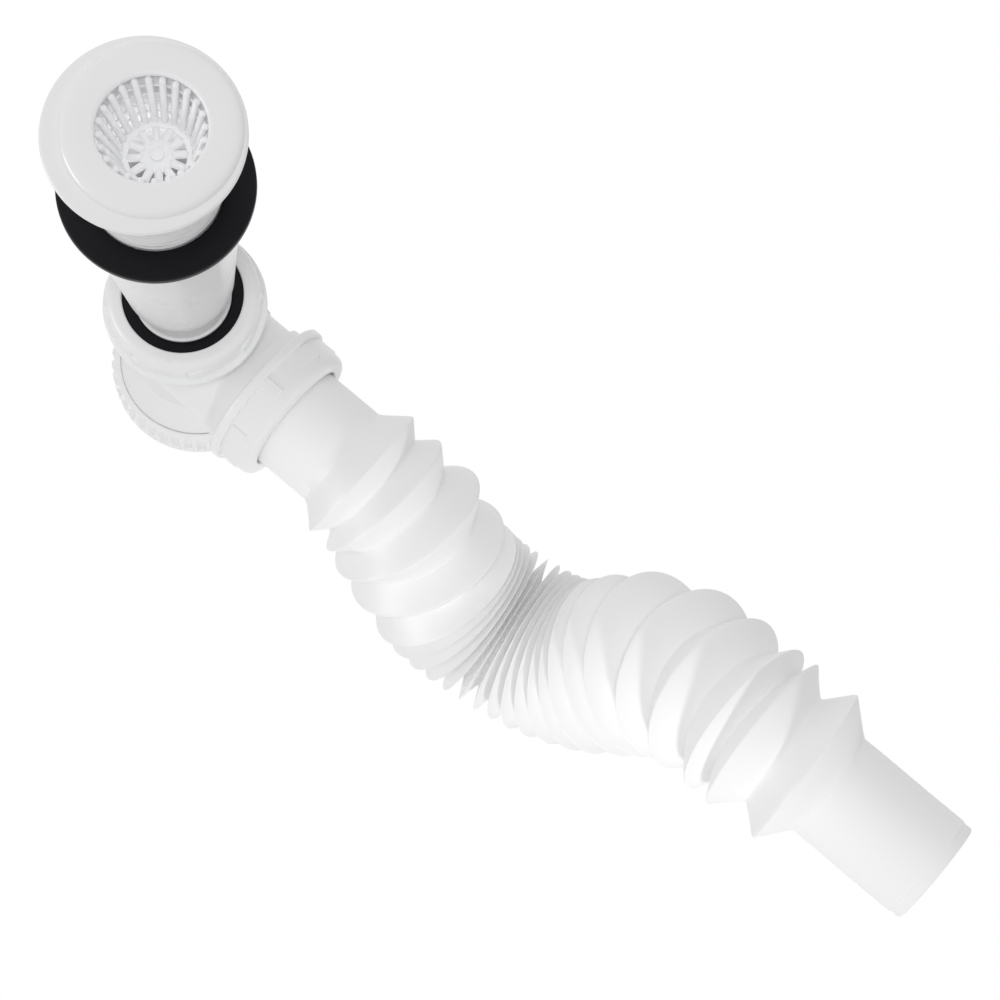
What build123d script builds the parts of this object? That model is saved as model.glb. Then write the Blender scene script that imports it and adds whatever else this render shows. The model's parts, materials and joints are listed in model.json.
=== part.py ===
"""Flexible basin trap: a screw-in basin waste with a strainer basket and a long funnel tail, a small tee-shaped
trap body with two compression nuts and a cleaning cap, and a one-piece bellows pipe to the drain.

Frame: millimetres. The waste's axis is Z, with Z = 0 at the underside of the waste flange, where it lies on the
basin. The outlet leaves the trap body along +X.
"""
import math
import os

from build123d import *

os.makedirs("parts", exist_ok=True)

# Clearances, all measured along the radius
running_gap = 0.1      # rubber ring on a pipe that still slides and turns
thread_gap = 0.3       # crest to root of a screwed pair
loose_gap = 0.3        # pieces that pass each other

# Waste flange and its threaded shank
shank_d = 41.9
shank_wall = 2.4
shank_length = 68.0
screw_pitch = 5.4      # coarse ridges of the shank
screw_depth = 0.8
screw_crest = 2.0
screw_flank = 0.9
flare_stand = 5.05     # cone under the rim, past the shank
flare_drop = 6.0
rim_stand = 4.5        # rim past the cone
rim_thick = 2.0
rim_edge_r = 0.8
mouth_bevel = 4.45     # bevelled mouth that the basket hangs in, past the bore

# Strainer basket, lying a little off centre as it was dropped in
basket_shift = (1.0, 2.3)
collar_inset = 3.25    # collar's edge inside the rim's
collar_thick = 2.6
collar_edge_r = 1.8
hole_edge_r = 0.9
hole_inset = 1.95      # collar's hole inside the waste's bore
basket_depth = 25.0
basket_taper = 6.1     # floor's edge inside the hole's
basket_floor_thick = 1.6
rib_count = 24
rib_thick = 1.8
rib_depth = 1.8
rib_stand = 1.2        # how far a rib's tip stands into the hole
tip_drop = 2.2
web_count = 4
web_height = 0.9
web_depth = 0.8
slot_count = 12
slot_width = 1.5
slot_length = 4.2
slot_inset = 3.75      # middle of the slots, inside the floor's edge
boss_d = 4.0
boss_height = 1.2

# Gasket, and the room for the basin between it and the flange
basin_gap = 44.0
gasket_stand = 2.3     # gasket past the tail's flange
gasket_thick = 3.5
gasket_edge_r = 0.8

# Funnel tail
tail_flange_stand = 2.5
tail_flange_thick = 3.0
tail_top_wall = 4.75   # round the socket at its mouth
tail_foot_stand = 2.5  # cone's foot past the neck
tail_foot_r = 5.0
tail_wall = 2.0
tail_socket_depth = 38.0
funnel_length = 100.5
neck_d = 32.0
neck_wall = 1.8
neck_length = 42.0
neck_insert = 22.5     # reach of the neck below the body's rim
stop_ring_stand = 0.8
stop_ring_height = 1.8
stop_ring_lift = 0.4   # its height over the rubber ring

# Compression nuts, one size for both
nut_length = 16.0
nut_wall = 2.45
nut_lip_stand = 1.9
nut_lip_length = 3.6
nut_end_r = 4.0
nut_mouth_gap = 0.95   # round the pipe
nut_mouth_depth = 3.0
nut_step_count = 8
nut_step_height = 0.8
nut_step_angle = 24.0
nut_step_length = 9.0

# Rubber rings of the two nuts
ring_thick = 3.5
ring_inset = 0.4       # inside the thread's crest
ring_sleeve_length = 8.0

# Trap body
inlet_height = 40.5    # outlet's axis to the inlet's rim
branch_length = 43.5   # body's axis to the branch's rim
tube_wall = 2.0
thread_height = 1.6
thread_length = 14.0
bell_start = 24.0      # below the outlet's axis
bell_end = 38.0
bell_wall = 2.4
bell_lip = 0.5         # bell's edge past the skirt
skirt_stand = 5.7      # skirt past the tube
body_foot = 48.0

# Cleaning cap
cap_wall = 3.9
cap_height = 14.0
cap_floor = 2.6
cap_edge_r = 1.5
cap_tooth_count = 42
cap_gap_width = 2.4
cap_gap_depth = 1.0
cap_gap_height = 8.5
cap_band_height = 3.0  # plain band left at the foot
cap_dish_inset = 10.2
cap_dish_depth = 1.0
cap_ring_thick = 2.4
cap_ring_wall = 4.4

# Bellows pipe
pipe_d = 40.0
pipe_wall = 1.6
cuff_start = 30.0      # inside the branch
cuff_end = 72.0        # where the folds begin
spigot_length = 47.5
spigot_land = 3.6      # fine land at the open end
spigot_land_drop = 0.4
crest_flat = 1.0
valley_stand = 1.5     # valleys past the pipe
fold_wall = 1.7
first_rise = 8.4
near_pitches = (11.1, 13.7, 16.7, 14.3)
nested_count = 12
far_pitches = (10.4, 13.8, 18.4, 15.2, 14.9, 8.1, 18.2)
last_fall = 9.9
# Crests past the pipe, by their share of the way: small at the cuff and largest over the hump
crest_stands = ((0.0, 7.3), (0.08, 8.0), (0.14, 10.5), (0.5, 11.0), (0.63, 13.8), (0.8, 11.0), (1.0, 10.7))
# Way of the bellows past its cuff: along the outlet, to its side, and up from its axis
bellows_way = (
    (101.2, -1.1, -9.8),
    (126.8, -5.7, -33.4),
    (150.2, -3.4, -42.9),
    (181.8, 4.0, -34.8),
    (202.5, 16.9, -13.1),
    (224.6, 19.0, 7.0),
    (249.3, 17.6, 15.1),
)
spigot_start = (276.0, 19.0, 15.0)
lead_length = 20.0     # straight lead into and out of the folds, which keeps them square to the ends

# Radii worked out from the sizes above
shank_r = shank_d / 2
waste_bore_r = shank_r - shank_wall
flare_r = shank_r + flare_stand
rim_r = flare_r + rim_stand
collar_r = rim_r - collar_inset
hole_r = waste_bore_r - hole_inset
floor_r = hole_r - basket_taper
socket_r = shank_r + thread_gap
tail_top_r = socket_r + tail_top_wall
tail_flange_r = tail_top_r + tail_flange_stand
gasket_r = tail_flange_r + gasket_stand
neck_r = neck_d / 2
tail_foot_edge = neck_r + tail_foot_stand
stop_ring_r = neck_r + stop_ring_stand
pipe_r = pipe_d / 2
tube_bore_r = pipe_r + loose_gap
tube_r = tube_bore_r + tube_wall
thread_r = tube_r + thread_height
ring_r = thread_r - ring_inset
nut_bore_r = thread_r + thread_gap
barrel_r = nut_bore_r + nut_wall
nut_lip_r = barrel_r + nut_lip_stand
nut_mouth_r = pipe_r + nut_mouth_gap
skirt_r = tube_r + skirt_stand
cap_bore_r = skirt_r + thread_gap
cap_r = cap_bore_r + cap_wall

# Levels worked out from the sizes above
collar_top = rim_thick + collar_thick
gasket_top = -basin_gap
gasket_foot = gasket_top - gasket_thick
funnel_foot = gasket_foot - funnel_length
neck_foot = funnel_foot - neck_length
inlet_rim = neck_foot + neck_insert
outlet_level = inlet_rim - inlet_height
body_end = outlet_level - body_foot
cap_inside = body_end - cap_ring_thick
cap_foot = cap_inside - cap_floor


def ring_profile(inner_r, outer_r, low, high):
    """Rectangle of a turned ring, in a sketch on the XZ plane."""
    with Locations(((inner_r + outer_r) / 2, (low + high) / 2)):
        Rectangle(outer_r - inner_r, high - low)


# Waste flange, whose shank has a ridge at each screw pitch
screw_root_r = shank_r - screw_depth
screw_sides = []
for turn in range(int((shank_length - flare_drop) / screw_pitch)):
    groove_top = -flare_drop - turn * screw_pitch - screw_crest
    groove_foot = -flare_drop - (turn + 1) * screw_pitch
    screw_sides.append((shank_r, groove_top))
    screw_sides.append((screw_root_r, groove_top - screw_flank))
    screw_sides.append((screw_root_r, groove_foot + screw_flank))
    screw_sides.append((shank_r, groove_foot))

with BuildPart() as waste_flange:
    with BuildSketch(Plane.XZ):
        with BuildLine():
            Polyline(
                (waste_bore_r + mouth_bevel, rim_thick),
                (rim_r, rim_thick),
                (rim_r, 0),
                (flare_r, 0),
                (shank_r, -flare_drop),
                *screw_sides,
                (shank_r, -shank_length),
                (waste_bore_r, -shank_length),
                (waste_bore_r, -flare_drop),
                close=True,
            )
        make_face()
    revolve(axis=Axis.Z)
    top_rims = waste_flange.edges().filter_by(GeomType.CIRCLE).group_by(Axis.Z)[-1]
    fillet(top_rims.sort_by(SortBy.RADIUS)[-1], rim_edge_r)
waste_flange.part.label = "waste_flange"
export_step(waste_flange.part, "parts/waste_flange.step")

# Strainer basket: one rib is drawn first and then set round the cone
floor_level = collar_top - basket_depth
floor_foot = floor_level - basket_floor_thick
tip_level = collar_top - tip_drop


def rib_inner_r(level):
    """Radius of the ribs' inner edges at a level of the basket's cone."""
    share = (level - floor_level) / (tip_level - floor_level)
    return floor_r + share * (hole_r - rib_stand - floor_r)


with BuildPart() as basket_rib:
    with BuildSketch(Plane.XZ):
        with BuildLine():
            rib_sides = Polyline(
                (hole_r + rib_depth - rib_stand, tip_level + rib_stand / 2),
                (hole_r + rib_depth - rib_stand, rim_thick),
                (floor_r + rib_depth, floor_foot),
                (floor_r, floor_foot),
                (floor_r, floor_level),
                (rib_inner_r(tip_level), tip_level),
            )
            Line(rib_sides @ 1, rib_sides @ 0)
        make_face()
    extrude(amount=rib_thick / 2, both=True)

with BuildPart() as strainer_basket:
    with BuildSketch(Plane.XZ):
        ring_profile(hole_r, collar_r, rim_thick, collar_top)
    revolve(axis=Axis.Z)
    top_rims = strainer_basket.edges().filter_by(GeomType.CIRCLE).group_by(Axis.Z)[-1].sort_by(SortBy.RADIUS)
    fillet(top_rims[-1], collar_edge_r)
    fillet(top_rims[0], hole_edge_r)
    with BuildSketch(Plane.XY.offset(floor_foot)):
        Circle(floor_r + rib_depth)
        with PolarLocations(floor_r - slot_inset, slot_count):
            SlotOverall(slot_length, slot_width, mode=Mode.SUBTRACT)
    extrude(amount=basket_floor_thick)
    with BuildSketch(Plane.XY.offset(floor_level)):
        Circle(boss_d / 2)
    extrude(amount=boss_height)
    with PolarLocations(0, rib_count):
        add(basket_rib.part)
    with BuildSketch(Plane.XZ):
        for number in range(web_count):
            level = floor_level + (number + 1) * (rim_thick - floor_level) / (web_count + 1)
            web_r = rib_inner_r(level) + rib_depth
            ring_profile(web_r - web_depth, web_r, level, level + web_height)
    revolve(axis=Axis.Z)
strainer_basket.part.position = (*basket_shift, 0)
strainer_basket.part.label = "strainer_basket"
export_step(strainer_basket.part, "parts/strainer_basket.step")

# Gasket
with BuildPart() as basin_gasket:
    with BuildSketch(Plane.XZ):
        ring_profile(socket_r, gasket_r, gasket_foot, gasket_top)
    revolve(axis=Axis.Z)
    outer_rims = basin_gasket.edges().filter_by(GeomType.CIRCLE).sort_by(SortBy.RADIUS)[-2:]
    fillet(outer_rims, gasket_edge_r)
basin_gasket.part.label = "basin_gasket"
export_step(basin_gasket.part, "parts/basin_gasket.step")

# Funnel tail: flange, socket for the shank, cone, and the neck that goes down into the trap
flange_foot = gasket_foot - tail_flange_thick
socket_foot = gasket_foot - tail_socket_depth
ring_top = inlet_rim + ring_thick
stop_foot = ring_top + stop_ring_lift
cone_foot = (tail_foot_edge, funnel_foot + tail_foot_r)
cone_fall = (tail_foot_edge - tail_top_r, funnel_foot + tail_foot_r - flange_foot)
with BuildPart() as tail_funnel:
    with BuildSketch(Plane.XZ):
        with BuildLine():
            Polyline(
                (tail_top_r, flange_foot),
                (tail_flange_r, flange_foot),
                (tail_flange_r, gasket_foot),
                (socket_r, gasket_foot),
                (socket_r, socket_foot),
                (tail_foot_edge - tail_wall, funnel_foot + tail_foot_r),
                (neck_r - neck_wall, funnel_foot),
                (neck_r - neck_wall, neck_foot),
                (neck_r, neck_foot),
                (neck_r, stop_foot),
                (stop_ring_r, stop_foot),
                (stop_ring_r, stop_foot + stop_ring_height),
                (neck_r, stop_foot + stop_ring_height),
                (neck_r, funnel_foot),
            )
            TangentArc(cone_foot, (neck_r, funnel_foot), tangent=cone_fall)
            Line((tail_top_r, flange_foot), cone_foot)
        make_face()
    revolve(axis=Axis.Z)
tail_funnel.part.label = "tail_funnel"
export_step(tail_funnel.part, "parts/tail_funnel.step")

# Compression nut, drawn with its mouth up and its shoulder at zero, then set at the inlet and at the outlet
nut_foot = nut_mouth_depth - nut_length
with BuildPart() as nut_form:
    with BuildSketch(Plane.XZ):
        with BuildLine():
            Polyline(
                (nut_mouth_r, nut_mouth_depth),
                (barrel_r, nut_mouth_depth),
                (barrel_r, nut_foot + nut_lip_length),
                (nut_lip_r, nut_foot + nut_lip_length),
                (nut_lip_r, nut_foot),
                (nut_bore_r, nut_foot),
                (nut_bore_r, 0),
                (nut_mouth_r, 0),
                close=True,
            )
        make_face()
    revolve(axis=Axis.Z)
    end_rims = nut_form.edges().filter_by(GeomType.CIRCLE).group_by(Axis.Z)[-1].sort_by(SortBy.RADIUS)
    fillet(end_rims[-1], nut_end_r)
    # grip: low wedges that end in a step, like a ratchet
    step_turn = math.radians(nut_step_angle)
    with BuildSketch(Plane.XY.offset(nut_foot + nut_lip_length / 2)):
        with PolarLocations(0, nut_step_count):
            Polygon(
                (barrel_r - nut_step_height, 0),
                (barrel_r + nut_step_height, 0),
                (barrel_r * math.cos(step_turn), barrel_r * math.sin(step_turn)),
                align=None,
            )
    extrude(amount=nut_step_length)

with BuildPart() as inlet_nut:
    with Locations((0, 0, ring_top)):
        add(nut_form.part)
inlet_nut.part.label = "inlet_nut"
export_step(inlet_nut.part, "parts/inlet_nut.step")

with BuildPart() as outlet_nut:
    with Locations(Location((branch_length + ring_thick, 0, outlet_level), (0, 90, 0))):
        add(nut_form.part)
outlet_nut.part.label = "outlet_nut"
export_step(outlet_nut.part, "parts/outlet_nut.step")

# Rubber ring of the inlet: a flange on the body's rim and a sleeve down inside it
with BuildPart() as inlet_seal:
    with BuildSketch(Plane.XZ):
        ring_profile(neck_r + running_gap, ring_r, inlet_rim, ring_top)
        ring_profile(neck_r + running_gap, tube_bore_r - loose_gap, inlet_rim - ring_sleeve_length, ring_top)
    revolve(axis=Axis.Z)
inlet_seal.part.label = "inlet_seal"
export_step(inlet_seal.part, "parts/inlet_seal.step")

# Rubber ring of the outlet, on the bellows pipe's cuff
outlet_plane = Plane(origin=(0, 0, outlet_level), x_dir=(0, 1, 0), z_dir=(1, 0, 0))
with BuildPart() as outlet_seal:
    with BuildSketch(outlet_plane.offset(branch_length)):
        Circle(ring_r)
        Circle(pipe_r + running_gap, mode=Mode.SUBTRACT)
    extrude(amount=ring_thick)
outlet_seal.part.label = "outlet_seal"
export_step(outlet_seal.part, "parts/outlet_seal.step")

# Trap body: upright tube with a bell foot, and a branch
bell_top = outlet_level - bell_start
bell_foot = outlet_level - bell_end
with BuildPart() as trap_body:
    with BuildSketch(Plane.XZ):
        with BuildLine():
            Polyline(
                (0, inlet_rim),
                (thread_r, inlet_rim),
                (thread_r, inlet_rim - thread_length),
                (tube_r, inlet_rim - thread_length),
                (tube_r, bell_top),
                (skirt_r + bell_lip, bell_foot),
                (skirt_r, bell_foot),
                (skirt_r, body_end),
                (0, body_end),
                close=True,
            )
        make_face()
    revolve(axis=Axis.Z)
    with BuildSketch(outlet_plane):
        Circle(tube_r)
    extrude(amount=branch_length)
    with BuildSketch(outlet_plane.offset(branch_length - thread_length)):
        Circle(thread_r)
    extrude(amount=thread_length)
    with BuildSketch(Plane.XZ):
        with BuildLine():
            Polyline(
                (0, inlet_rim),
                (tube_bore_r, inlet_rim),
                (tube_bore_r, bell_top),
                (skirt_r - bell_wall, bell_foot),
                (skirt_r - bell_wall, body_end),
                (0, body_end),
                close=True,
            )
        make_face()
    revolve(axis=Axis.Z, mode=Mode.SUBTRACT)
    with BuildSketch(outlet_plane):
        Circle(tube_bore_r)
    extrude(amount=branch_length, mode=Mode.SUBTRACT)
trap_body.part.label = "trap_body"
export_step(trap_body.part, "parts/trap_body.step")

# Flat rubber ring in the cleaning cap
with BuildPart() as cap_seal:
    with BuildSketch(Plane.XZ):
        ring_profile(skirt_r - cap_ring_wall, skirt_r, cap_inside, body_end)
    revolve(axis=Axis.Z)
cap_seal.part.label = "cap_seal"
export_step(cap_seal.part, "parts/cap_seal.step")

# Cleaning cap
with BuildPart() as cleaning_cap:
    with BuildSketch(Plane.XZ):
        with BuildLine():
            Polyline(
                (0, cap_foot + cap_dish_depth),
                (cap_r - cap_dish_inset, cap_foot + cap_dish_depth),
                (cap_r - cap_dish_inset, cap_foot),
                (cap_r, cap_foot),
                (cap_r, cap_foot + cap_height),
                (cap_bore_r, cap_foot + cap_height),
                (cap_bore_r, cap_inside),
                (0, cap_inside),
                close=True,
            )
        make_face()
    revolve(axis=Axis.Z)
    top_rims = cleaning_cap.edges().filter_by(GeomType.CIRCLE).group_by(Axis.Z)[-1].sort_by(SortBy.RADIUS)
    fillet(top_rims[-1], cap_edge_r)
    with BuildSketch(Plane.XY.offset(cap_foot + cap_band_height)):
        with PolarLocations(cap_r, cap_tooth_count):
            Rectangle(2 * cap_gap_depth, cap_gap_width)
    extrude(amount=cap_gap_height, mode=Mode.SUBTRACT)
cleaning_cap.part.label = "cleaning_cap"
export_step(cleaning_cap.part, "parts/cleaning_cap.step")

# Bellows pipe: the way of its middle, and where each crest and valley comes along it
way_start = Vector(cuff_end, 0, outlet_level)
way_end = Vector(spigot_start[0], spigot_start[1], outlet_level + spigot_start[2])
way_points = [Vector(along, side, outlet_level + up) for along, side, up in bellows_way]
way_lead = Vector(lead_length, 0, 0)
bellows_line = Spline(way_start - way_lead, way_start, *way_points, way_end, way_end + way_lead)
way_length = bellows_line.length - 2 * lead_length

nested_pitch = (way_length - first_rise - sum(near_pitches) - sum(far_pitches) - last_fall) / nested_count
pitches = list(near_pitches) + [nested_pitch] * nested_count + list(far_pitches)
crests = [first_rise]
for pitch in pitches:
    crests.append(crests[-1] + pitch)


def crest_r(distance):
    """Radius of a crest, on straight lines between the stands named above."""
    share = distance / way_length
    stand = crest_stands[0][1]
    for (low, low_stand), (high, high_stand) in zip(crest_stands, crest_stands[1:]):
        if low <= share <= high:
            stand = low_stand + (high_stand - low_stand) * (share - low) / (high - low)
    return pipe_r + stand


def fold_plane(distance):
    """Plane across the bellows at a distance along its way."""
    share = (lead_length + distance) / bellows_line.length
    centre = bellows_line.position_at(share)
    forward = bellows_line.tangent_at(share)
    side = Vector(0, 1, 0) - forward * forward.Y
    return Plane(origin=centre, x_dir=side, z_dir=forward)


spigot_plane = Plane(origin=way_end, x_dir=(0, 1, 0), z_dir=(1, 0, 0))
outer_rings = [(outlet_plane.offset(cuff_end), pipe_r)]
inner_rings = [(outlet_plane.offset(cuff_end), pipe_r - pipe_wall)]
for number, crest in enumerate(crests):
    if number:
        valley = (crests[number - 1] + crest) / 2
        outer_rings.append((fold_plane(valley), pipe_r + valley_stand))
        inner_rings.append((fold_plane(valley), pipe_r + valley_stand - fold_wall))
    outer_rings.append((fold_plane(crest - crest_flat / 2), crest_r(crest)))
    outer_rings.append((fold_plane(crest + crest_flat / 2), crest_r(crest)))
    inner_rings.append((fold_plane(crest), crest_r(crest) - fold_wall))
outer_rings.append((spigot_plane, pipe_r))
inner_rings.append((spigot_plane, pipe_r - pipe_wall))

with BuildPart() as bellows_pipe:
    for plane, radius in outer_rings:
        with BuildSketch(plane):
            Circle(radius)
    loft(ruled=True)
    with BuildSketch(outlet_plane.offset(cuff_start)):
        Circle(pipe_r)
    extrude(amount=cuff_end - cuff_start)
    with BuildSketch(spigot_plane):
        Circle(pipe_r)
    extrude(amount=spigot_length - spigot_land)
    with BuildSketch(spigot_plane.offset(spigot_length - spigot_land)):
        Circle(pipe_r - spigot_land_drop)
    extrude(amount=spigot_land)
    # hollow of the folds, with a straight bore at each end
    for plane, radius in inner_rings:
        with BuildSketch(plane):
            Circle(radius)
    loft(ruled=True, mode=Mode.SUBTRACT)
    with BuildSketch(outlet_plane.offset(cuff_start)):
        Circle(pipe_r - pipe_wall)
    extrude(amount=cuff_end - cuff_start, mode=Mode.SUBTRACT)
    with BuildSketch(spigot_plane):
        Circle(pipe_r - pipe_wall)
    extrude(amount=spigot_length, mode=Mode.SUBTRACT)
bellows_pipe.part.label = "bellows_pipe"
export_step(bellows_pipe.part, "parts/bellows_pipe.step")
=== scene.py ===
"""Looks of a flexible basin trap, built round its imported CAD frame.

Every visible surface is a grid of points made from a few named sizes: turned profiles with teeth or threads,
ribs on a cone, and the bellows swept along its bent way. The trap body is shown as it comes from the frame.
"""
import json
import math

import bmesh
import bpy
import numpy as np
from mathutils import Euler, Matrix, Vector

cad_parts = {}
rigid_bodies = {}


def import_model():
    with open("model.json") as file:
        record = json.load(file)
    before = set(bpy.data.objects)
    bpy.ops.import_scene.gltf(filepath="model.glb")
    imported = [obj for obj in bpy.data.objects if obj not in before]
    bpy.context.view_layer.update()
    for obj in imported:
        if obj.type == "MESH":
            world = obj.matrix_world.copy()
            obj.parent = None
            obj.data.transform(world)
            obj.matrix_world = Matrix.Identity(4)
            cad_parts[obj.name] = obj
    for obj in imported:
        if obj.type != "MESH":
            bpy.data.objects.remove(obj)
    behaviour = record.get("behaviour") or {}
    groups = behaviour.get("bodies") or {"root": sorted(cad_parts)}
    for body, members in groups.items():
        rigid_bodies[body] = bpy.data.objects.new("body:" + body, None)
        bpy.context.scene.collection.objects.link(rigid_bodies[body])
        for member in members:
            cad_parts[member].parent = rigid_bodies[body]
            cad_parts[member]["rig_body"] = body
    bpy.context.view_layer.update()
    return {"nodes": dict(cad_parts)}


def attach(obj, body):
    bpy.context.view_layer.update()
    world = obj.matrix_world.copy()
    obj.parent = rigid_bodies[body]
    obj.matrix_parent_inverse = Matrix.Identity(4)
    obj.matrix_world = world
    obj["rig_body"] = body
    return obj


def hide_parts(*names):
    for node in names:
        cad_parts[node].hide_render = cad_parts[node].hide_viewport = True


bl_info = {
    "name": "Flexible basin trap",
    "version": (1, 0, 0),
    "blender": (4, 5, 0),
    "location": "3D View > Sidebar > Trap",
    "description": "Builds the visible surfaces, finishes and stage of a flexible basin trap",
    "category": "Object",
}

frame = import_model()
MM = 0.001
TURN = 2 * math.pi

# Sizes in millimetres that several pieces share; the waste's axis is Z, with zero under its rim
RIM_TOP = 2.0
FLARE_FOOT = -6.0
SHANK_END = -68.0
SHANK_R = 20.95
SOCKET_R = 21.25       # hole of the gasket and of the tail's mouth
GASKET_TOP = -44.0
GASKET_FOOT = -47.5
NECK_R = 16.0
PIPE_R = 20.0
RING_GAP = 0.1         # between a rubber ring and the pipe that slides in it
INLET_SHOULDER = -164.0
OUTLET_SHOULDER = 47.0
OUTLET_LEVEL = -208.0
BASKET_CENTRE = (1.0, 2.3)


def settings(context):
    """The scene's own group of settings."""
    return context.scene.basin_trap


# Surfaces


def join_grids(grids):
    """One list of points and one of quads from several grids of points.

    Each grid is an array of rows by columns by three. Its columns close on themselves, and so do its rows if
    the second member of the pair is true.
    """
    points, quads, base = [], [], 0
    for grid, closed in grids:
        rows, columns = grid.shape[:2]
        row = np.arange(rows if closed else rows - 1)[:, None]
        column = np.arange(columns)[None, :]
        next_row, next_column = (row + 1) % rows, (column + 1) % columns
        corners = [
            row * columns + column,
            row * columns + next_column,
            next_row * columns + next_column,
            next_row * columns + column,
        ]
        quads.append(np.stack(np.broadcast_arrays(*corners), -1).reshape(-1, 4) + base)
        points.append(grid.reshape(-1, 3))
        base += rows * columns
    return np.concatenate(points), np.concatenate(quads)


def weld(mesh):
    """Merge the points of a mesh that coincide, so that its poles are closed, and turn its faces outwards."""
    shell = bmesh.new()
    shell.from_mesh(mesh)
    bmesh.ops.remove_doubles(shell, verts=shell.verts, dist=1e-7)
    bmesh.ops.recalc_face_normals(shell, faces=shell.faces)
    shell.to_mesh(mesh)
    shell.free()


def make_piece(name, grids, node, slot):
    """A smooth mesh of grids in millimetres that stands for a CAD node and moves with its body."""
    points, quads = join_grids(grids)
    mesh = bpy.data.meshes.new(name)
    mesh.from_pydata((points * MM).tolist(), [], quads.tolist())
    weld(mesh)
    mesh.polygons.foreach_set("use_smooth", np.ones(len(mesh.polygons), bool))
    mesh.set_sharp_from_angle(angle=math.radians(38))
    mesh.materials.append(finish(slot))
    piece = bpy.data.objects.new(name, mesh)
    bpy.context.scene.collection.objects.link(piece)
    source = frame["nodes"][node]
    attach(piece, source["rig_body"])
    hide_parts(node)


def rounded(corners, steps=5):
    """A closed profile of corners (radius, level, rounding), each rounded by an arc of the rounding's size.

    The arc is a quadratic curve between the points at the rounding's distance along the two sides, with the
    corner as its middle control point. A rounding of zero leaves the corner sharp.
    """
    out = []
    count = len(corners)
    for index, (r, z, rounding) in enumerate(corners):
        here = np.array((r, z), float)
        if rounding <= 0:
            out.append(here)
            continue
        before = np.array(corners[index - 1][:2], float) - here
        after = np.array(corners[(index + 1) % count][:2], float) - here
        start = here + before * min(rounding / np.linalg.norm(before), 0.5)
        end = here + after * min(rounding / np.linalg.norm(after), 0.5)
        for t in np.linspace(0, 1, steps):
            out.append((1 - t) ** 2 * start + 2 * t * (1 - t) * here + t**2 * end)
    return np.array(out)


def refine(profile, longest):
    """The same closed profile with no step longer than a length, so that long sides can carry relief."""
    out = []
    for here, after in zip(profile, np.roll(profile, -1, axis=0)):
        parts = max(1, int(np.ceil(np.linalg.norm(after - here) / longest)))
        out.extend(here + (after - here) * k / parts for k in range(parts))
    return np.array(out)


def turned(profile, columns, relief=None, centre=(0, 0)):
    """Grid of a closed profile turned about an upright line; relief(r, z, angle) adds to the radius.

    A point is the centre plus the radius times the cosine and the sine of its angle, at the profile's level.
    """
    angle = np.arange(columns) * TURN / columns
    r = np.repeat(profile[:, :1], columns, 1)
    z = np.repeat(profile[:, 1:], columns, 1)
    a = np.repeat(angle[None, :], len(profile), 0)
    if relief is not None:
        r = r + relief(r, z, a)
    return np.stack([centre[0] + r * np.cos(a), centre[1] + r * np.sin(a), z], -1)


def ramp(value, low, high):
    """Zero below low, one above high, and an even rise between."""
    return np.clip((value - low) / (high - low), 0, 1)


def curve_through(knots, samples):
    """Points and unit tangents, evenly spaced along a smooth curve through the knots.

    The curve is a cubic spline over the chord length. Its end slopes are those of the parabola through the
    first three and the last three knots; the inner slopes make the bending continuous.
    """
    knots = np.array(knots, float)
    chord = np.linalg.norm(np.diff(knots, axis=0), axis=1)
    at = np.concatenate([[0], np.cumsum(chord)])
    slope = np.diff(knots, axis=0) / chord[:, None]
    count = len(knots)
    left = np.eye(count)
    right = np.zeros_like(knots)
    right[0] = slope[0] - chord[0] * (slope[1] - slope[0]) / (chord[0] + chord[1])
    right[-1] = slope[-1] + chord[-1] * (slope[-1] - slope[-2]) / (chord[-1] + chord[-2])
    for k in range(1, count - 1):
        left[k, k - 1 : k + 2] = chord[k], 2 * (chord[k - 1] + chord[k]), chord[k - 1]
        right[k] = 3 * (chord[k] * slope[k - 1] + chord[k - 1] * slope[k])
    speed = np.linalg.solve(left, right)
    fine = np.linspace(0, at[-1], 2 * samples)
    span = np.clip(np.searchsorted(at, fine, "right") - 1, 0, count - 2)
    h = chord[span][:, None]
    t = ((fine - at[span]) / chord[span])[:, None]
    line = (
        (1 + 2 * t) * (1 - t) ** 2 * knots[span]
        + t * (1 - t) ** 2 * h * speed[span]
        + t**2 * (3 - 2 * t) * knots[span + 1]
        + t**2 * (t - 1) * h * speed[span + 1]
    )
    length = np.concatenate([[0], np.cumsum(np.linalg.norm(np.diff(line, axis=0), axis=1))])
    even = np.linspace(0, length[-1], samples)
    points = np.stack([np.interp(even, length, line[:, k]) for k in range(3)], 1)
    tangents = np.gradient(points, axis=0)
    tangents /= np.linalg.norm(tangents, axis=1)[:, None]
    return even, points, tangents


def swept(distance, radius, columns, way):
    """Grid of circles of the given radii, square to the way at the given distances along it.

    From a circle's centre a point lies the radius times the cosine of its angle along the part of Y that is
    square to the way, and the radius times the sine along the direction square to both.
    """
    even, points, tangents = way
    centre = np.stack([np.interp(distance, even, points[:, k]) for k in range(3)], 1)
    forward = np.stack([np.interp(distance, even, tangents[:, k]) for k in range(3)], 1)
    forward /= np.linalg.norm(forward, axis=1)[:, None]
    side = np.array((0, 1, 0)) - forward * forward[:, 1:2]
    side /= np.linalg.norm(side, axis=1)[:, None]
    up = np.cross(forward, side)
    angle = np.arange(columns) * TURN / columns
    around = side[:, None] * np.cos(angle)[None, :, None] + up[:, None] * np.sin(angle)[None, :, None]
    return centre[:, None] + around * radius[:, None, None]


# Finishes


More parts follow.
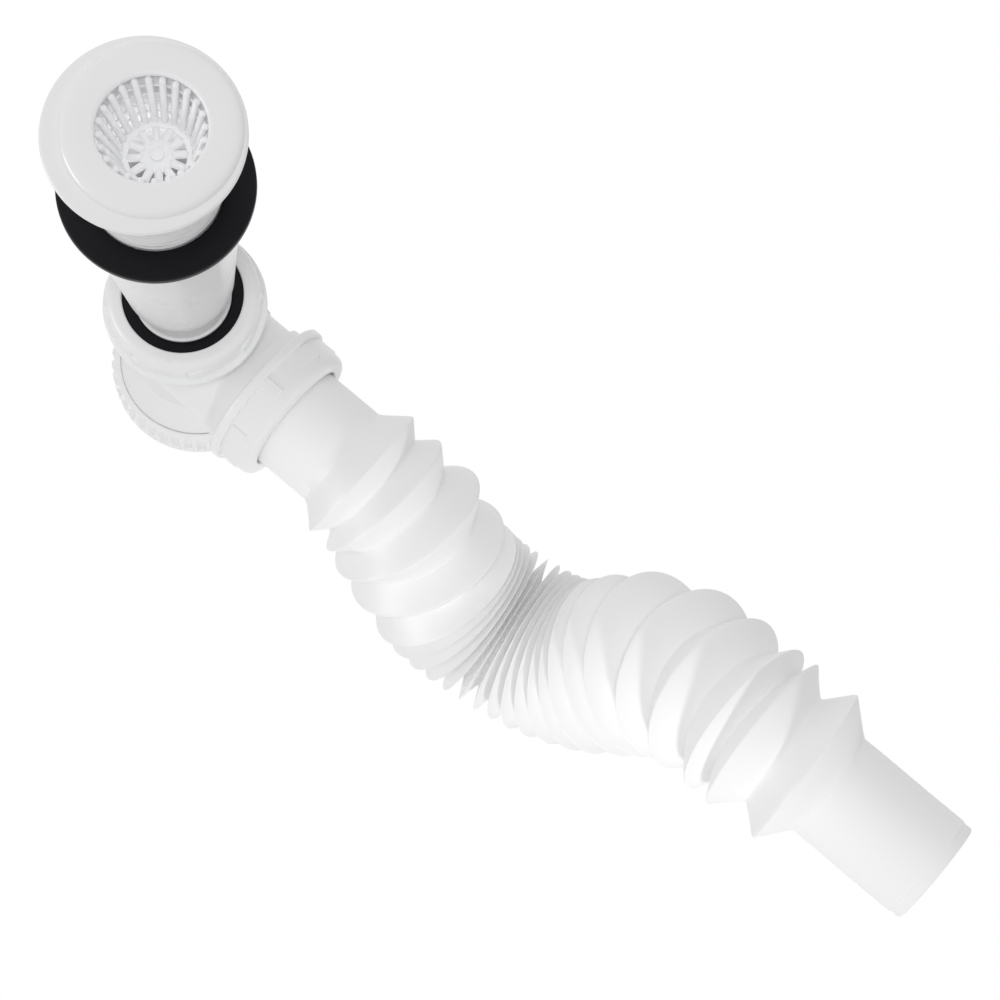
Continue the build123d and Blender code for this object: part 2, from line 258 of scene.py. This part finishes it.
class Wire:
    """A shader value: arithmetic on it adds math nodes to its tree."""

    def __init__(self, tree, socket):
        self.tree = tree
        self.socket = socket

    @classmethod
    def node(cls, tree, kind, inputs=None, output=0, **options):
        """Adds any node to a tree, sets its options and then its sockets, and returns one of its outputs."""
        made = tree.nodes.new(kind)
        for key, value in options.items():
            setattr(made, key, value)
        for key, value in (inputs or {}).items():
            if isinstance(value, Wire):
                tree.links.new(value.socket, made.inputs[key])
            else:
                made.inputs[key].default_value = value
        return cls(tree, made.outputs[output]) if made.outputs else None

    def maths(self, operation, first, second):
        """The result of one operation on two values."""
        return Wire.node(self.tree, "ShaderNodeMath", {0: first, 1: second}, operation=operation)

    def __add__(self, other):
        return self.maths("ADD", self, other)

    def __sub__(self, other):
        return self.maths("SUBTRACT", self, other)

    def __mul__(self, other):
        return self.maths("MULTIPLY", self, other)

    def __rsub__(self, other):
        return self.maths("SUBTRACT", other, self)

    __radd__ = __add__
    __rmul__ = __mul__


def blend(share, low, high):
    """A colour between two others: sockets 6 and 7 of the mix node are its colours, and output 2 the mix."""
    sockets = {"Factor": share, 6: low, 7: high}
    return Wire.node(share.tree, "ShaderNodeMix", sockets, output=2, data_type="RGBA")


def times(colour, share):
    """A colour with an alpha of one, made darker by a share."""
    return (*(share * part for part in colour), 1)


def finish(slot):
    """The finish that was made for a slot."""
    return bpy.data.materials[slot + "_finish"]


def begin_finish(slot):
    """The empty tree of a new node material for a slot, and the object's own coordinates in it."""
    material = bpy.data.materials.new(slot + "_finish")
    material.use_nodes = True
    tree = material.node_tree
    tree.nodes.clear()
    return tree, Wire.node(tree, "ShaderNodeTexCoord", output="Object")


def end_finish(tree, sockets):
    """Closes a finish with a shader whose sockets are given."""
    shader = Wire.node(tree, "ShaderNodeBsdfPrincipled", sockets)
    Wire.node(tree, "ShaderNodeOutputMaterial", {"Surface": shader})


def plastic(slot, colour, roughness, coat, glow, painted_shade=1.0):
    """White moulded plastic: faint clouding of its colour, uneven gloss and a fine grain.

    Below the gasket the colour is multiplied by a share, as painted shade under the gasket.
    """
    tree, place = begin_finish(slot)
    unevenness = 0.12
    cloud = Wire.node(tree, "ShaderNodeTexNoise", {"Vector": place, "Scale": 45.0, "Detail": 3.0})
    grain = Wire.node(tree, "ShaderNodeTexNoise", {"Vector": place, "Scale": 900.0, "Detail": 2.0})
    tint = blend(cloud, times(colour, 0.985), times(colour, 1.0))
    # Painted shade: below the gasket the colour is darkened, standing in for the shade of the gasket and the
    # flange.
    if painted_shade < 1.0:
        edge = {"From Min": (GASKET_FOOT - 0.5) * MM, "From Max": (GASKET_FOOT + 0.5) * MM}
        level = Wire.node(tree, "ShaderNodeSeparateXYZ", {"Vector": place}, output="Z")
        above = Wire.node(tree, "ShaderNodeMapRange", {"Value": level, **edge})
        tint = blend(above, times(colour, painted_shade), tint)
    end_finish(tree, {
        "Base Color": tint,
        "Roughness": cloud * unevenness + (roughness - unevenness / 2),
        "Normal": Wire.node(tree, "ShaderNodeBump", {"Strength": 0.04, "Distance": 0.0002, "Height": grain}),
        "IOR": 1.49,
        "Coat Weight": coat,
        "Coat Roughness": 0.12,
        "Subsurface Weight": glow,
        "Subsurface Radius": (0.005, 0.005, 0.005),
        "Subsurface Scale": 1.0,
    })


def rubber(slot, colour, roughness):
    """Black moulded rubber with a soft sheen and an uneven grain."""
    tree, place = begin_finish(slot)
    unevenness = 0.16
    grain = Wire.node(tree, "ShaderNodeTexNoise", {"Vector": place, "Scale": 700.0, "Detail": 3.0})
    end_finish(tree, {
        "Base Color": times(colour, 1.0),
        "Roughness": grain * unevenness + (roughness - unevenness / 2),
        "Normal": Wire.node(tree, "ShaderNodeBump", {"Strength": 0.08, "Distance": 0.0003, "Height": grain}),
        "Specular IOR Level": 0.15,
    })


# Settings


def colour_value(name, default, words):
    """A colour setting in linear values."""
    return bpy.props.FloatVectorProperty(
        name=name, description=words, default=default, subtype="COLOR", min=0.0, max=1.0
    )


def length_value(name, default, words):
    """A length setting: its default is given in millimetres and kept in metres."""
    return bpy.props.FloatProperty(
        name=name, description=words, default=default * MM, min=0.0, precision=5, unit="LENGTH"
    )


def share_value(name, default, words):
    """A setting between zero and one."""
    return bpy.props.FloatProperty(
        name=name, description=words, default=default, min=0.0, max=1.0, subtype="FACTOR"
    )


def power_value(name, default, words):
    """A lamp's power in watts."""
    return bpy.props.FloatProperty(
        name=name, description=words, default=default, min=0.0, precision=4, unit="POWER"
    )


def count_value(name, default, words):
    """A number of like features."""
    return bpy.props.IntProperty(name=name, description=words, default=default, min=1)


class FinishSettings(bpy.types.PropertyGroup):
    """Colours of the finishes."""

    gloss_white: colour_value("Gloss white", (0.92, 0.92, 0.928), "Waste, basket and tail")
    nut_white: colour_value("Nut white", (0.90, 0.90, 0.906), "Nuts and cleaning cap")
    body_white: colour_value("Body white", (0.89, 0.89, 0.895), "Trap body")
    bellows_white: colour_value("Bellows white", (0.955, 0.955, 0.955), "Bellows pipe")
    black_rubber: colour_value("Black rubber", (0.006, 0.006, 0.008), "Gasket and rings")


class WasteSettings(bpy.types.PropertyGroup):
    """Flange, shank, gasket and funnel tail."""

    columns: count_value("Columns", 160, "Points round each turned piece")
    thread_pitch: length_value("Thread pitch", 2.7, "Rise of the shank's thread in one turn")
    thread_depth: length_value("Thread depth", 0.8, "Depth of the shank's thread")


class BasketSettings(bpy.types.PropertyGroup):
    """Strainer basket."""

    ribs: count_value("Ribs", 24, "Ribs round the cone")
    rib_width: length_value("Rib width", 2.35, "Width of a rib")
    webs: count_value("Webs", 4, "Thin rings that join the ribs")
    slots: count_value("Slots", 12, "Slots in the floor")
    spoke_width: length_value("Spoke width", 2.6, "Width of the floor between two slots")


class NutSettings(bpy.types.PropertyGroup):
    """The two compression nuts and the cleaning cap."""

    columns: count_value("Columns", 384, "Points round a nut")
    steps: count_value("Steps", 8, "Grip steps round a nut")
    step_height: length_value("Step height", 0.8, "Height of a grip step")
    teeth: count_value("Teeth", 42, "Teeth round the cap")
    tooth_depth: length_value("Tooth depth", 1.0, "Depth of the gaps between the cap's teeth")


class BellowsSettings(bpy.types.PropertyGroup):
    """Bellows pipe."""

    columns: count_value("Columns", 144, "Points round the pipe")
    rows: count_value("Rows", 9, "Rows to one side of a fold")
    crest_round: share_value("Crest round", 0.035, "Softness of a crest")
    valley_round: share_value("Valley round", 0.06, "Softness of a valley")
    wall: length_value("Wall", 1.2, "Wall of the folds along the radius")


class StageSettings(bpy.types.PropertyGroup):
    """Camera and light."""

    lens: bpy.props.FloatProperty(
        name="Lens", description="Focal length on a 36 mm sensor", default=108.83, unit="CAMERA"
    )
    fill: share_value("Fill", 0.66, "Strength of the white surround")
    lean: share_value("Lean", 0.35, "Share by which the surround's bright side is brighter")
    key: power_value("Key", 23.0, "Narrow key on the bellows")
    front: power_value("Front", 50.0, "Lamp behind the camera")
    edge: power_value("Edge", 14.0, "Lamp that left edges mirror")
    glow: power_value("Glow", 0.009, "Glow inside the shank")
    gleam: power_value("Gleam", 0.0015, "Glow in the basket")


class TrapSettings(bpy.types.PropertyGroup):
    """All settings of the trap."""

    finish: bpy.props.PointerProperty(type=FinishSettings)
    waste: bpy.props.PointerProperty(type=WasteSettings)
    basket: bpy.props.PointerProperty(type=BasketSettings)
    nut: bpy.props.PointerProperty(type=NutSettings)
    bellows: bpy.props.PointerProperty(type=BellowsSettings)
    stage: bpy.props.PointerProperty(type=StageSettings)


# Pieces


class TRAP_OT_finishes(bpy.types.Operator):
    """Make the finishes and give the trap body its own"""

    bl_idname = "trap.finishes"
    bl_label = "Finishes"

    def execute(self, context):
        own = settings(context).finish
        # The waste's white is darkened below the gasket as painted shade.
        plastic("gloss_white", own.gloss_white, roughness=0.26, coat=0.20, glow=0.0, painted_shade=0.84)
        plastic("nut_white", own.nut_white, roughness=0.30, coat=0.15, glow=0.10)
        plastic("body_white", own.body_white, roughness=0.34, coat=0.10, glow=0.10)
        plastic("bellows_white", own.bellows_white, roughness=0.42, coat=0.0, glow=0.0)
        rubber("black_rubber", own.black_rubber, roughness=0.40)
        body = frame["nodes"]["trap_body"]
        body.data.materials.clear()
        body.data.materials.append(finish("body_white"))
        return {"FINISHED"}


class TRAP_OT_waste(bpy.types.Operator):
    """Build the flange with its threaded shank, the gasket and the funnel tail"""

    bl_idname = "trap.waste"
    bl_label = "Waste"

    def execute(self, context):
        own = settings(context).waste
        pitch, depth = own.thread_pitch / MM, own.thread_depth / MM
        shank = refine(self.flange_profile(), 0.4)

        def thread(r, z, angle):
            """A rounded ridge that climbs one pitch a turn, faded out at both ends of the shank.

            Its groove is half of one minus the cosine of the level, as turns of one pitch, less the angle.
            """
            wave = 0.5 - 0.5 * np.cos(TURN * z / pitch - angle)
            fade = ramp(-z, 0.6 - FLARE_FOOT, 2.0 - FLARE_FOOT) * ramp(z, SHANK_END + 1, SHANK_END + 3)
            return -depth * wave * fade * ramp(r, SHANK_R - 0.95, SHANK_R - 0.05)

        flange = turned(shank, own.columns, thread)
        make_piece("waste_flange_look", [(flange, True)], "waste_flange", "gloss_white")
        gasket = turned(self.gasket_profile(), own.columns)
        make_piece("basin_gasket_look", [(gasket, True)], "basin_gasket", "black_rubber")
        tail = turned(self.tail_profile(), own.columns)
        make_piece("tail_funnel_look", [(tail, True)], "tail_funnel", "gloss_white")
        return {"FINISHED"}

    def flange_profile(self):
        """Rim, cone under the rim and shank, with the bore up to the bevelled mouth."""
        rim_r, flare_r, mouth_r, bore_r = 30.5, 26.0, 23.0, 18.55
        return rounded([
            (mouth_r, RIM_TOP, 0.6), (rim_r, RIM_TOP, 1.2), (rim_r, 0.0, 0.4), (flare_r, 0.0, 0.3),
            (SHANK_R, FLARE_FOOT, 1.5), (SHANK_R, SHANK_END, 0.6),
            (bore_r, SHANK_END, 0.4), (bore_r, FLARE_FOOT, 2.0),
        ])

    def gasket_profile(self):
        """A flat ring with soft edges."""
        edge_r = 30.8
        return rounded([
            (SOCKET_R, GASKET_TOP, 0.4), (edge_r, GASKET_TOP, 0.9),
            (edge_r, GASKET_FOOT, 0.9), (SOCKET_R, GASKET_FOOT, 0.4),
        ])

    def tail_profile(self):
        """Lip, cone and a neck with a stop ring; inside, the socket for the shank above the bore."""
        lip_r, lip_foot, cone_top_r, cone_foot_r, cone_foot = 28.5, -50.5, 26.0, 18.5, -146.0
        neck_top, neck_end, bore_r, socket_foot = -149.0, -190.0, 14.2, -85.5
        ring_r, ring_top, ring_foot = 16.8, -161.8, -163.6
        return rounded([
            (SOCKET_R, GASKET_FOOT, 0.4), (lip_r, GASKET_FOOT, 0.5), (lip_r, lip_foot, 0.6),
            (cone_top_r, lip_foot, 0.8), (cone_foot_r, cone_foot, 4.5), (NECK_R, neck_top, 1.5),
            (NECK_R, ring_top, 0.2), (ring_r, ring_top, 0.5), (ring_r, ring_foot, 0.5),
            (NECK_R, ring_foot, 0.2), (NECK_R, neck_end, 0.6), (bore_r, neck_end, 0.5),
            (bore_r, neck_top + 1, 2.0), (cone_foot_r - 2, cone_foot + 3, 2.0), (SOCKET_R, socket_foot, 1.0),
        ], 8)


class TRAP_OT_basket(bpy.types.Operator):
    """Build the strainer basket: collar, round ribs on a cone, webs and a slotted floor"""

    bl_idname = "trap.basket"
    bl_label = "Basket"

    def execute(self, context):
        own = settings(context).basket
        rib_r, spoke_r = own.rib_width / MM / 2, own.spoke_width / MM / 2
        tip, foot = np.array((15.9, 2.7)), np.array((11.2, -20.9))
        spoke_out, spoke_in = np.array((9.6, -21.1)), np.array((4.0, -21.1))
        grids = [self.ring(self.collar_profile(), 160)]
        for k in range(own.ribs):
            grids.append(self.bar(tip, foot, rib_r, k * TURN / own.ribs))
        for k in range(own.webs):
            r, z = tip + (foot - tip) * (k + 1) / (own.webs + 1)
            grids.append(self.ring(self.web_profile(r, z), 120))
        floor_top, floor_foot, slot_end_r, floor_r = -20.4, -22.0, 8.9, 12.3
        rim = [
            (slot_end_r, floor_top, 0.3), (floor_r, floor_top, 0.6),
            (floor_r, floor_foot, 0.4), (slot_end_r, floor_foot, 0.2),
        ]
        grids.append(self.ring(rounded(rim, 3), 120))
        boss_r, boss_top, hub_r = 2.0, -19.2, 5.4
        hub = [
            (0, boss_top, 0), (boss_r, boss_top, 0.5), (boss_r, floor_top, 0.3), (hub_r, floor_top, 0.3),
            (hub_r, floor_foot, 0.2), (0, floor_foot, 0),
        ]
        grids.append((turned(rounded(hub, 3), 60, centre=BASKET_CENTRE), False))
        for k in range(own.slots):
            grids.append(self.bar(spoke_out, spoke_in, spoke_r, (k + 0.5) * TURN / own.slots))
        make_piece("strainer_basket_look", grids, "strainer_basket", "gloss_white")
        return {"FINISHED"}

    def ring(self, profile, columns):
        """A closed grid of a profile turned about the basket's axis."""
        return turned(profile, columns, centre=BASKET_CENTRE), True

    def collar_profile(self):
        """Flat on the rim, with a wide soft shoulder outside and a round edge at the hole."""
        hole_r, edge_r, top = 16.6, 27.25, 4.6
        return rounded([
            (hole_r, RIM_TOP, 0.3), (hole_r, top, 1.4), (edge_r - 3.65, top, 3.0),
            (edge_r - 0.75, top - 0.7, 1.6), (edge_r, RIM_TOP, 0.3),
        ], 8)

    def web_profile(self, r, z):
        """A thin ring just outside a radius and below a level."""
        inside, outside, foot = r + 0.3, r + 1.0, z - 0.8
        return rounded([(inside, z, 0.2), (outside, z, 0.2), (outside, foot, 0.2), (inside, foot, 0.2)], 3)

    def bar(self, tip, foot, radius, turn):
        """Grid of a round bar with domed ends between two points (radius, level), turned about the axis.

        In a dome the bar's radius grows as the sine of an angle from zero to a right angle, and the distance
        from the tip as one minus its cosine.
        """
        reach = np.linalg.norm(foot - tip)
        along = (foot - tip) / reach
        across = np.array((-along[1], along[0]))
        dome = np.linspace(0, math.pi / 2, 6)
        place = np.concatenate([radius * (1 - np.cos(dome)), reach - radius * (1 - np.cos(dome[::-1]))])
        size = np.concatenate([np.sin(dome), np.sin(dome[::-1])]) * radius
        sides = 14
        around = np.arange(sides) * TURN / sides
        flat = tip + along * place[:, None]
        r = flat[:, :1] + across[0] * size[:, None] * np.cos(around)
        z = flat[:, 1:] + across[1] * size[:, None] * np.cos(around)
        side = size[:, None] * np.sin(around)
        x = BASKET_CENTRE[0] + r * math.cos(turn) - side * math.sin(turn)
        y = BASKET_CENTRE[1] + r * math.sin(turn) + side * math.cos(turn)
        return np.stack([x, y, z], -1), False


def along_outlet(grid):
    """A grid made about Z, laid along the outlet's axis, with its levels as distances along X."""
    return grid[..., [2, 1, 0]] * (1, 1, -1) + np.array((0, 0, OUTLET_LEVEL))


class TRAP_OT_nuts(bpy.types.Operator):
    """Build the two compression nuts and the rubber rings in their mouths"""

    bl_idname = "trap.nuts"
    bl_label = "Nuts"

    def execute(self, context):
        nut = self.nut_grid(settings(context).nut)
        inlet = nut + np.array((0, 0, INLET_SHOULDER))
        outlet = along_outlet(nut + np.array((0, 0, OUTLET_SHOULDER)))
        make_piece("inlet_nut_look", [(inlet, True)], "inlet_nut", "nut_white")
        make_piece("outlet_nut_look", [(outlet, True)], "outlet_nut", "nut_white")
        ring_r, ring_height, columns = 23.5, 3.5, 128
        ring_foot, sleeve_foot, sleeve_r = INLET_SHOULDER - ring_height, INLET_SHOULDER - 11.5, 20.0
        hole_r = NECK_R + RING_GAP
        sleeve = rounded([
            (hole_r, INLET_SHOULDER, 0.6), (ring_r, INLET_SHOULDER, 0.5), (ring_r, ring_foot, 0.5),
            (sleeve_r, ring_foot, 0.3), (sleeve_r, sleeve_foot, 0.6), (hole_r, sleeve_foot, 0.6),
        ])
        make_piece("inlet_seal_look", [(turned(sleeve, columns), True)], "inlet_seal", "black_rubber")
        hole_r, ring_end = PIPE_R + RING_GAP, OUTLET_SHOULDER - ring_height
        ring = rounded([
            (hole_r, OUTLET_SHOULDER, 0.5), (ring_r, OUTLET_SHOULDER, 0.5), (ring_r, ring_end, 0.5),
            (hole_r, ring_end, 0.5),
        ])
        ring = along_outlet(turned(ring, columns))
        make_piece("outlet_seal_look", [(ring, True)], "outlet_seal", "black_rubber")
        return {"FINISHED"}

    def nut_grid(self, own):
        """Grid of a compression nut about Z, with its inner shoulder at zero and its mouth up."""
        mouth_r, barrel_r, lip_r, bore_r = 20.95, 26.65, 28.55, 24.2
        top, grip_top, lip_top, foot = 3.0, -2.2, -9.4, -13.0
        nut = [
            (mouth_r, top, 1.0), (barrel_r, top, 5.2), (barrel_r, lip_top, 0.3), (lip_r, lip_top, 0.9),
            (lip_r, foot, 0.9), (bore_r, foot, 0.6), (bore_r, 0.0, 0.2), (mouth_r, 0.0, 0.3),
        ]
        wedge_share = 0.53

        def grip(r, z, angle):
            """Low wedges from the lip to near the mouth: each rises against the turn and ends in a step.

            Over its share of a step's width a wedge's height is one minus the part of that share passed.
            """
            phase = angle * own.steps / TURN % 1.0
            wedge = np.clip(1 - phase / wedge_share, 0, 1) * (phase < wedge_share)
            height = ramp(z, lip_top - 0.1, lip_top + 0.1) * ramp(grip_top - z, 0, 0.3)
            return own.step_height / MM * wedge * height * ramp(r, barrel_r - 1.65, barrel_r - 0.25)

        return turned(refine(rounded(nut, 8), 0.5), own.columns, grip)


class TRAP_OT_cap(bpy.types.Operator):
    """Build the toothed cleaning cap and the ring inside it"""

    bl_idname = "trap.cap"
    bl_label = "Cap"

    def execute(self, context):
        own = settings(context).nut
        cap_r, bore_r, foot, top, floor = 32.2, 28.3, -261.0, -247.0, -258.4
        lip_r, lip_top, dish_r, dish = 28.75, -246.2, 21.5, -260.0
        tooth_columns, gap_share, flank = 12, 0.46, 0.12
        cap = [
            (0, dish, 0), (dish_r, dish, 0.6), (dish_r + 1, foot, 0.6), (cap_r, foot, 1.2), (cap_r, top, 1.8),
            (lip_r + 0.55, lip_top, 0.4), (lip_r, lip_top, 0.1), (lip_r, top + 0.1, 0.1),
            (bore_r, top + 0.1, 0.2), (bore_r, floor, 0.3), (0, floor, 0),
        ]

        def teeth(r, z, angle):
            """Gaps with steep sides between square teeth, open at the cap's upper edge.

            A gap is deepest where the distance from its middle, as a share of half a tooth and gap, is small.
            """
            phase = np.abs(angle * own.teeth / TURN % 1.0 - 0.5) * 2
            gap = 1 - ramp(phase, gap_share, gap_share + flank)
            side = ramp(r, cap_r - 1.2, cap_r - 0.6) * ramp(z, foot + 2.4, foot + 2.8)
            return -own.tooth_depth / MM * gap * side

        shell = turned(refine(rounded(cap, 6), 0.6), own.teeth * tooth_columns, teeth)
        make_piece("cleaning_cap_look", [(shell, False)], "cleaning_cap", "nut_white")
        hole_r, ring_r, ring_top = 23.6, 28.0, -256.0
        ring = rounded([
            (hole_r, ring_top, 0.4), (ring_r, ring_top, 0.4), (ring_r, floor, 0.4), (hole_r, floor, 0.4),
        ])
        make_piece("cap_seal_look", [(turned(ring, 96), True)], "cap_seal", "black_rubber")
        return {"FINISHED"}


class TRAP_OT_bellows(bpy.types.Operator):
    """Build the bellows pipe: cuff, folds along a bent way, and spigot"""

    bl_idname = "trap.bellows"
    bl_label = "Bellows pipe"

    def execute(self, context):
        own = settings(context).bellows
        cuff, spigot, cuff_rows = 42.0, 47.5, 16
        bore_r, bore_end_r, bore_end, tip_r = 18.4, 18.5, 40.0, 19.6
        way = self.way(cuff, spigot)
        full = way[0][-1]
        folded = full - cuff - spigot
        stations, outer = self.folds(own, self.crests(folded), folded)
        # Distance from the last fold and radius: a straight spigot with a small step and a bevelled tip
        end = np.array((
            (0.4, PIPE_R), (8, PIPE_R), (16, PIPE_R), (24, PIPE_R), (32, PIPE_R), (40, PIPE_R),
            (43.6, PIPE_R), (43.9, 19.7), (44.2, tip_r), (46.9, tip_r), (47.3, 19.4), (spigot, 19.0),
        ))
        start = np.concatenate([[0], np.linspace(0.3, cuff - 0.5, cuff_rows)])
        start_r = np.concatenate([[tip_r], np.full(cuff_rows, PIPE_R)])
        place = np.concatenate([start, cuff + stations, cuff + folded + end[:, 0]])
        radius = np.concatenate([start_r, outer, end[:, 1]])
        inside = np.concatenate([start[::2], cuff + stations[::2], [full - bore_end, full]])
        fold_bore = np.maximum(outer[::2] - own.wall / MM, bore_r)
        inner = np.concatenate([np.full(len(start[::2]), bore_r), fold_bore, [bore_r, bore_end_r]])
        place = np.concatenate([place, inside[::-1]])
        radius = np.concatenate([radius, inner[::-1]])
        pipe = swept(place, radius, own.columns, way)
        make_piece("bellows_pipe_look", [(pipe, True)], "bellows_pipe", "bellows_white")
        return {"FINISHED"}

    def way(self, cuff, spigot):
        """Middle line of the pipe: straight through cuff and spigot, and bent between them."""
        lead = 20.0
        start, end = np.array((72.0, 0, OUTLET_LEVEL)), np.array((276.0, 19.0, -193.0))
        bends = (
            (101.2, -1.1, -9.8), (126.8, -5.7, -33.4), (150.2, -3.4, -42.9), (181.8, 4.0, -34.8),
            (202.5, 16.9, -13.1), (224.6, 19.0, 7.0), (249.3, 17.6, 15.1),
        )
        knots = [start - (cuff, 0, 0), start - (lead, 0, 0), start]
        knots += [np.array((along, side, OUTLET_LEVEL + up)) for along, side, up in bends]
        knots += [end, end + (lead, 0, 0), end + (spigot, 0, 0)]
        return curve_through(knots, 3000)

    def crests(self, folded):
        """Distances of the crests: spread folds at both ends and nested ones sharing what is left between."""
        first_rise, last_fall, nested_count = 8.4, 9.9, 12
        near, far = (11.1, 13.7, 16.7, 14.3), (10.4, 13.8, 18.4, 15.2, 14.9, 8.1, 18.2)
        nested = (folded - first_rise - sum(near) - sum(far) - last_fall) / nested_count
        return np.cumsum([first_rise, *near, *[nested] * nested_count, *far])

    def folds(self, own, crests, folded):
        """Distances and radii of the folds' rows.

        Each side of a fold runs straight between a valley and a crest. Both turns are hyperbolas: the height
        h between zero and one becomes the root of h squared plus the square of the softness, at either end.
        The rows crowd towards valley and crest: a share t of the way loses a part of sin(turn t) over a turn.
        """
        valley_r, crowding = 21.5, 0.7
        valleys = np.concatenate([[0], (crests[1:] + crests[:-1]) / 2, [folded]])
        low = np.full(len(valleys), valley_r)
        low[0] = low[-1] = PIPE_R
        shares, stands = (0, 0.08, 0.14, 0.5, 0.63, 0.8, 1.0), (7.3, 8.0, 10.5, 11.0, 13.8, 11.0, 10.7)
        high = PIPE_R + np.interp(crests / folded, shares, stands)
        t = np.linspace(0, 1, own.rows + 1)[:-1]
        t = t - np.sin(TURN * t) / TURN * crowding
        at, r = [], []
        for k, crest in enumerate(crests):
            rising = (valleys[k], crest, low[k], high[k])
            falling = (crest, valleys[k + 1], high[k], low[k + 1])
            for begin, end, begin_r, end_r in (rising, falling):
                rise = t if end_r > begin_r else 1 - t
                soft = np.sqrt(rise**2 + own.valley_round**2 * (1 - rise) ** 2)
                soft = 1 - np.sqrt((1 - soft).clip(0) ** 2 + own.crest_round**2 * rise**2)
                at.append(begin + (end - begin) * t)
                r.append(min(begin_r, end_r) + abs(end_r - begin_r) * soft.clip(0, 1))
        return np.concatenate(at), np.concatenate(r)


class TRAP_OT_stage(bpy.types.Operator):
    """Set the camera, the white surround and the lights"""

    bl_idname = "trap.stage"
    bl_label = "Stage"

    def execute(self, context):
        own = settings(context).stage
        scene = context.scene
        data = bpy.data.cameras.new("camera")
        data.lens, data.sensor_width = own.lens, 36.0
        data.clip_start, data.clip_end = 0.05, 20.0
        camera = bpy.data.objects.new("camera", data)
        camera.location = (0.24894, -0.17657, 0.83883)
        camera.rotation_euler = Euler([math.radians(a) for a in (12.609, -1.896, 40.248)])
        scene.collection.objects.link(camera)
        scene.camera = camera
        self.surround(scene, own.fill, own.lean)
        self.spot("key", own.key, 0.09, (1.223, -0.836, 0.147), (0.165, 0.01, -0.205), 12.5)
        self.spot("front", own.front, 0.2, (0.378, -0.451, 2.24), (0.1, 0, -0.1), 40)
        self.bulb("glow", own.glow, 0.012, (0, 0, -0.045))
        self.bulb("gleam", own.gleam, 0.004, (0.003, 0.0025, 0.001))
        # The edge lamp shows in gloss alone
        edge = self.bulb("edge", own.edge, 0.25, (-0.615, -0.764, 0.094))
        edge.visible_glossy, edge.visible_diffuse = True, False
        scene.render.engine = "CYCLES"
        scene.render.resolution_x = scene.render.resolution_y = 1000
        scene.view_settings.view_transform = "Standard"
        scene.cycles.max_bounces = scene.cycles.diffuse_bounces = 14
        scene.cycles.samples = 160
        scene.cycles.use_denoising = True
        return {"FINISHED"}

    def surround(self, scene, fill, lean):
        """White behind the object and in its reflections, and a softer white as light.

        The light's strength is the fill times one plus the lean times the dot product of the ray's direction
        with the direction of the bright side.
        """
        bright_side = (-0.806, -0.175, -0.565)
        world = bpy.data.worlds.new("surround")
        world.use_nodes = True
        tree = world.node_tree
        tree.nodes.clear()
        seen = Wire.node(tree, "ShaderNodeLightPath", output="Is Camera Ray")
        for kind in ("Is Glossy Ray", "Is Transmission Ray"):
            seen = seen.maths("MAXIMUM", seen, Wire.node(tree, "ShaderNodeLightPath", output=kind))
        way = Wire.node(tree, "ShaderNodeTexCoord", output="Generated")
        product = {0: way, 1: bright_side}
        side = Wire.node(tree, "ShaderNodeVectorMath", product, output="Value", operation="DOT_PRODUCT")
        light = (side * lean + 1.0) * fill
        strength = light + seen * (1.0 - light)
        back = Wire.node(tree, "ShaderNodeBackground", {"Color": (1, 1, 1, 1), "Strength": strength})
        Wire.node(tree, "ShaderNodeOutputWorld", {"Surface": back})
        scene.world = world

    def spot(self, name, watts, radius, place, target, cone):
        """A round lamp with a soft-edged cone in degrees that faces a target."""
        lamp = self.lamp(name, "SPOT", watts, radius, place)
        lamp.data.spot_size, lamp.data.spot_blend = math.radians(cone), 0.5
        lamp.rotation_euler = (Vector(target) - Vector(place)).to_track_quat("-Z", "Y").to_euler()

    def bulb(self, name, watts, radius, place):
        """A lamp that shines all round. Inside the waste it stands for light through the thin white wall."""
        return self.lamp(name, "POINT", watts, radius, place)

    def lamp(self, name, kind, watts, radius, place):
        """A lamp that neither the camera nor gloss shows."""
        data = bpy.data.lights.new(name, kind)
        data.energy, data.shadow_soft_size = watts, radius
        lamp = bpy.data.objects.new(name, data)
        lamp.location = place
        lamp.visible_camera = lamp.visible_glossy = False
        bpy.context.scene.collection.objects.link(lamp)
        return lamp


class TRAP_PT_panel(bpy.types.Panel):
    """Settings and steps of the trap"""

    bl_idname = "TRAP_PT_panel"
    bl_label = "Flexible basin trap"
    bl_space_type = "VIEW_3D"
    bl_region_type = "UI"
    bl_category = "Trap"

    def draw(self, context):
        for step, group in STEPS:
            column = self.layout.column(align=True)
            column.operator(step)
            if group:
                own = getattr(settings(context), group)
                for key in own.__annotations__:
                    column.prop(own, key)


STEPS = (
    ("trap.finishes", "finish"),
    ("trap.waste", "waste"),
    ("trap.basket", "basket"),
    ("trap.nuts", "nut"),
    ("trap.cap", None),
    ("trap.bellows", "bellows"),
    ("trap.stage", "stage"),
)
CLASSES = (
    FinishSettings, WasteSettings, BasketSettings, NutSettings, BellowsSettings, StageSettings, TrapSettings,
    TRAP_OT_finishes, TRAP_OT_waste, TRAP_OT_basket, TRAP_OT_nuts, TRAP_OT_cap, TRAP_OT_bellows,
    TRAP_OT_stage, TRAP_PT_panel,
)


def register():
    """Register the classes and give each scene its settings."""
    for item in CLASSES:
        bpy.utils.register_class(item)
    bpy.types.Scene.basin_trap = bpy.props.PointerProperty(type=TrapSettings)


def unregister():
    """Take the settings and the classes away again."""
    del bpy.types.Scene.basin_trap
    for item in reversed(CLASSES):
        bpy.utils.unregister_class(item)


def main():
    """Build every piece and the stage."""
    register()
    bpy.ops.trap.finishes()
    bpy.ops.trap.waste()
    bpy.ops.trap.basket()
    bpy.ops.trap.nuts()
    bpy.ops.trap.cap()
    bpy.ops.trap.bellows()
    bpy.ops.trap.stage()


if __name__ == "__main__":
    main()
